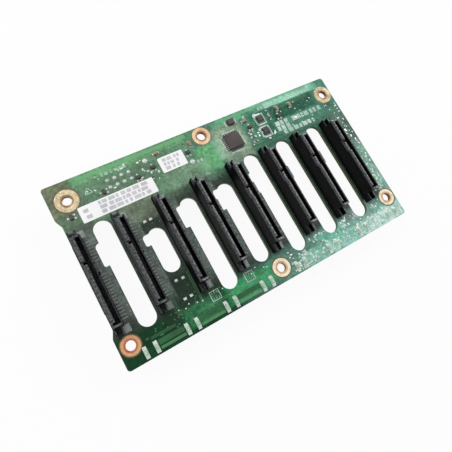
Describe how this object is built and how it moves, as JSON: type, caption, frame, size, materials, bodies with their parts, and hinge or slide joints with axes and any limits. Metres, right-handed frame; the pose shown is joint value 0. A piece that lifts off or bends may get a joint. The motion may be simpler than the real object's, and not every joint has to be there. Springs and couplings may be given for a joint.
{
  "type": "drive backplane board",
  "caption": "Green circuit board with a row of upright black drive receptacles, rounded airflow cut-outs between them, plated mounting holes, and cable and power receptacles on its rear.",
  "frame": {"origin": "centre of the lower left mounting hole, at the board's rear face", "axes": "+X along the board's long edge, +Y up across it towards the labels, +Z out of the front face, where the drives plug in"},
  "size_m": [0.136, 0.075, 0.0216],
  "materials": {
    "laminate": "green solder resist over glass-epoxy laminate",
    "receptacle_plastic": "black glass-filled moulding",
    "contact_metal": "gold-plated copper alloy",
    "tinned_metal": "tin-plated strip",
    "label_paper": "white coated label",
    "chip_resin": "moulded epoxy",
    "capacitor_ceramic": "tan ceramic with tinned ends",
    "resistor_ceramic": "black coated ceramic with tinned ends",
    "light_lens": "clear resin window on a white base",
    "header_plastic": "black moulding",
    "cage_metal": "plated spring steel",
    "insulator_plastic": "black moulding"
  },
  "bodies": {
    "root": {"chip_capacitors": "capacitor_ceramic", "chip_resistors": "resistor_ceramic", "circuit_board": "laminate", "controller_chip": "chip_resin", "controller_leads": "tinned_metal", "drive_contacts_1": "contact_metal", "drive_contacts_2": "contact_metal", "drive_contacts_3": "contact_metal", "drive_contacts_4": "contact_metal", "drive_contacts_5": "contact_metal", "drive_contacts_6": "contact_metal", "drive_contacts_7": "contact_metal", "drive_contacts_8": "contact_metal", "drive_housing_1": "receptacle_plastic", "drive_housing_2": "receptacle_plastic", "drive_housing_3": "receptacle_plastic", "drive_housing_4": "receptacle_plastic", "drive_housing_5": "receptacle_plastic", "drive_housing_6": "receptacle_plastic", "drive_housing_7": "receptacle_plastic", "drive_housing_8": "receptacle_plastic", "hold_down_tabs": "tinned_metal", "link_cage_1": "cage_metal", "link_cage_2": "cage_metal", "link_contacts_1": "contact_metal", "link_contacts_2": "contact_metal", "link_insulator_1": "insulator_plastic", "link_insulator_2": "insulator_plastic", "long_label": "label_paper", "power_header": "header_plastic", "power_pins": "tinned_metal", "rear_capacitors": "capacitor_ceramic", "short_label": "label_paper", "small_chip_leads": "tinned_metal", "small_chips": "chip_resin", "status_lights": "light_lens", "transistors": "chip_resin"}
  },
  "joints": []
}
